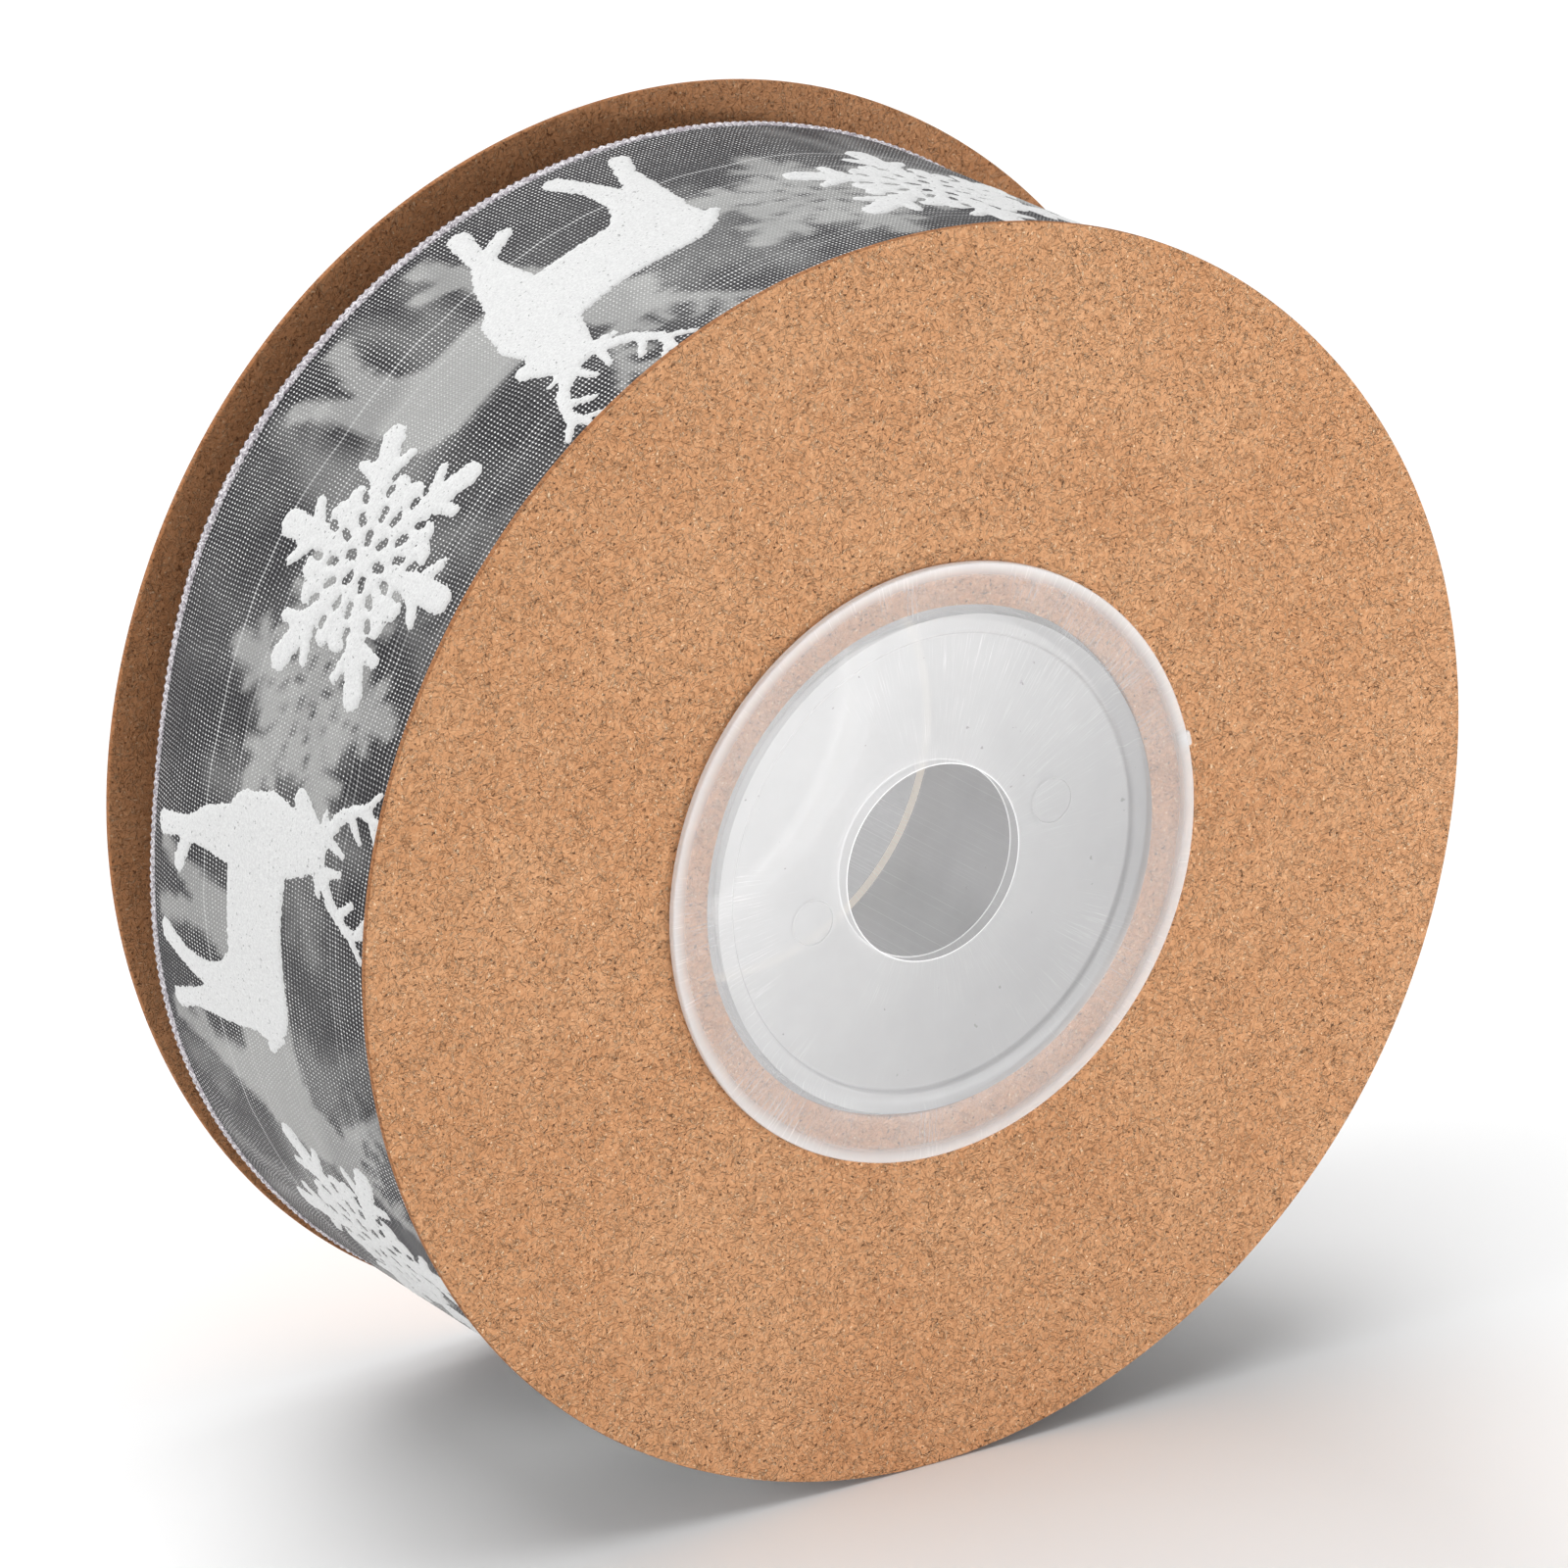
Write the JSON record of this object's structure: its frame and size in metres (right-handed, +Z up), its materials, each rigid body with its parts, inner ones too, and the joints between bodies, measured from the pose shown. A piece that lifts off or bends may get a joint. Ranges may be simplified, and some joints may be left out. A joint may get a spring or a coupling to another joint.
{
  "type": "ribbon spool",
  "caption": "Spool of sheer printed ribbon wound on a clear plastic hub between kraft board discs that turn on it, standing on its rims.",
  "frame": {"origin": "on the floor under the middle of the spool, half-way between the two discs and their centres", "axes": "+Z up, the axle line along Y with the front disc towards -Y, +X to the right seen from the front"},
  "size_m": [0.0716, 0.0298, 0.0707],
  "materials": {
    "kraft_board": "matte uncoated kraft board with fine fibres",
    "clear_plastic": "natural translucent moulded polypropylene",
    "sheer_ribbon": "grey sheer organza with a raised white flock print",
    "clear_tape": "clear adhesive tape"
  },
  "bodies": {
    "hub": {"front_hub": "clear_plastic", "back_hub": "clear_plastic", "ribbon": "sheer_ribbon", "end_tape": "clear_tape", "core_tape": "clear_tape"},
    "front_disc": {"front_disc": "kraft_board"},
    "back_disc": {"back_disc": "kraft_board"}
  },
  "joints": [
    {"name": "front_disc_turn", "type": "hinge", "parent": "hub", "child": "front_disc", "pos_m": [-0.00063, -0.0142, 0.035], "axis": [0, 1, 0], "continuous": true},
    {"name": "back_disc_turn", "type": "hinge", "parent": "hub", "child": "back_disc", "pos_m": [0.00063, 0.0142, 0.03535], "axis": [0, 1, 0], "continuous": true}
  ]
}
